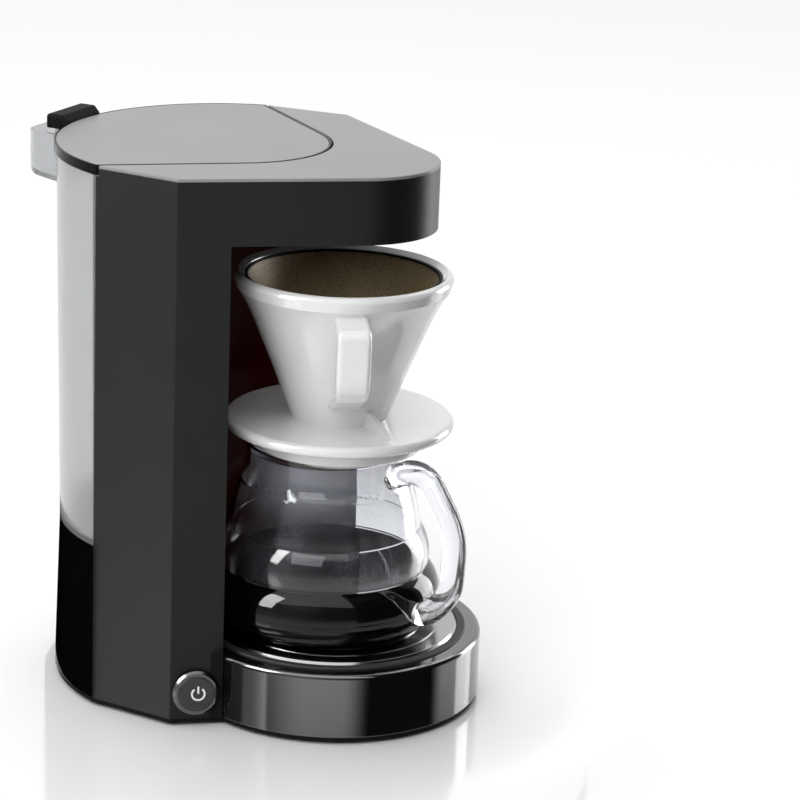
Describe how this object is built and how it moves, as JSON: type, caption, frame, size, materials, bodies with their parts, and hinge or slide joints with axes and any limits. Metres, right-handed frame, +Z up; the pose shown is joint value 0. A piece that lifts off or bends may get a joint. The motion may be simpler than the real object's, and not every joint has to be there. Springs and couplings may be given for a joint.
{
  "type": "automatic tea maker",
  "caption": "Automatic tea maker with a lift-off clear water tank, a hinged lid, a hot plate under an overhanging brew head, a ceramic dripper and a glass server.",
  "frame": {"origin": "centre of the bounding box's bottom, on the counter", "axes": "+Z up, +X from the water tank towards the round nose of the head and the server's handle, +Y to the machine's left, so the push button is on the -Y side"},
  "size_m": [0.2585, 0.1846, 0.2943],
  "materials": {
    "charcoal_plastic": "satin",
    "grey_plastic": "satin",
    "black_gloss": "glossy",
    "black_plastic": "satin",
    "maroon_gloss": "glossy",
    "clear_plastic": "clear, lightly frosted",
    "base_gloss": "glossy",
    "plate_enamel": "satin enamel",
    "silicone": "matte",
    "clear_silicone": "translucent",
    "steel": "brushed",
    "chrome_trim": "polished",
    "cap_grey": "satin",
    "cast_aluminium": "as cast",
    "tube_aluminium": "drawn",
    "switch_white": "matte",
    "board_green": "solder mask",
    "server_glass": "clear",
    "white_ceramic": "glossy glaze",
    "filter_mesh": "fine gold-tone mesh"
  },
  "bodies": {
    "machine": {"front_shell": "charcoal_plastic", "top_plate": "grey_plastic", "bay_panel": "maroon_gloss", "head_floor": "black_plastic", "rear_shell": "black_gloss", "cord_gland": "silicone", "bottom_pan": "black_plastic", "pan_screws": "steel", "rubber_feet": "silicone", "base_housing": "base_gloss", "hot_plate": "plate_enamel", "plate_gasket": "silicone", "heater_casting": "cast_aluminium", "water_tube": "tube_aluminium", "heating_element": "steel", "heater_bracket": "steel", "thermostat": "steel", "thermal_fuses": "steel", "valve_socket": "black_plastic", "inlet_hose": "clear_silicone", "riser_hose": "clear_silicone", "spray_head": "black_plastic", "outlet_elbow": "black_plastic", "button_bezel": "chrome_trim", "tact_switch": "black_plastic", "control_board": "board_green"},
    "tank": {"water_tank": "clear_plastic", "spout_seal": "silicone", "valve_cage": "switch_white", "valve_poppet": "silicone", "valve_spring": "steel", "hinge_pin": "steel"},
    "lid": {"lid_frame": "black_gloss", "lid_panel": "grey_plastic", "lid_tab": "black_plastic"},
    "button": {"button_cap": "cap_grey", "switch_plunger": "switch_white"},
    "server": {"server_glass": "server_glass", "server_handle": "server_glass"},
    "dripper": {"dripper": "white_ceramic", "dripper_handle": "white_ceramic", "filter_cone": "filter_mesh", "filter_rim": "black_plastic"}
  },
  "joints": [
    {"name": "tank_lift", "type": "slide", "parent": "machine", "child": "tank", "axis": [0, 0, 1], "range_m": [0, 0.22]},
    {"name": "lid_hinge", "type": "hinge", "parent": "tank", "child": "lid", "pos_m": [-0.11614, 0, 0.2885], "axis": [0, -1, 0], "range_deg": [0, 95]},
    {"name": "button_press", "type": "slide", "parent": "machine", "child": "button", "axis": [-0.592, 0.8059, 0], "range_m": [0, 0.0013], "stiffness_N_per_m": 700, "springref_m": -0.001},
    {"name": "server_out", "type": "slide", "parent": "machine", "child": "server", "axis": [1, 0, 0], "range_m": [0, 0.17]},
    {"name": "dripper_lift", "type": "slide", "parent": "server", "child": "dripper", "axis": [0, 0, 1], "range_m": [0, 0.018]}
  ]
}
